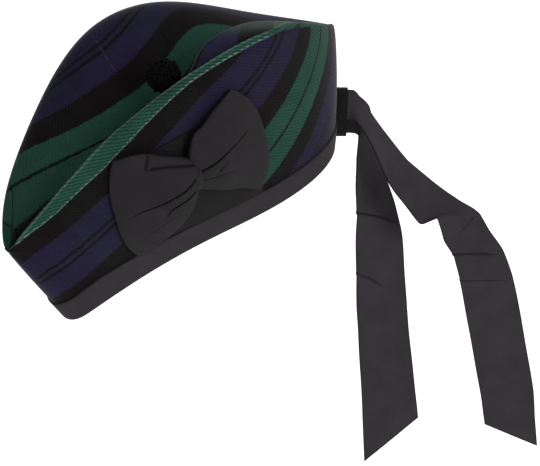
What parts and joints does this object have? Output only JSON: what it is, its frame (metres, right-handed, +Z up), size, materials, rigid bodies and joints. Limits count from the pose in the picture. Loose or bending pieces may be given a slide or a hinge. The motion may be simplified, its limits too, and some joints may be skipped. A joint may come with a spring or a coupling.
{
  "type": "glengarry cap",
  "caption": "Soft boat-shaped cloth cap in a dark green, navy and black check, with a pleated crown, pompom, ribbon-bound edge, side bow and hanging ribbon tails.",
  "frame": {"origin": "the middle of the brim opening, where the head goes in", "axes": "+Z up as the cap is held with its front tipped down, +X toward the rear of the cap, -Y toward the wearer's left, where the bow is"},
  "size_m": [0.4276, 0.1831, 0.3654],
  "materials": {
    "tartan": "matte twill wool in green, navy and black",
    "ribbon": "dull black ribbon with fine cross ribs",
    "wool": "black looped wool"
  },
  "bodies": {
    "root": {"side_left": "tartan", "side_right": "tartan", "crown": "tartan", "edge_binding": "ribbon", "bow_back": "ribbon", "bow_loop_front": "ribbon", "bow_loop_rear": "ribbon", "bow_knot": "ribbon", "toorie": "wool", "tail_knot": "ribbon", "tail_left": "ribbon", "tail_right": "ribbon"}
  },
  "joints": []
}
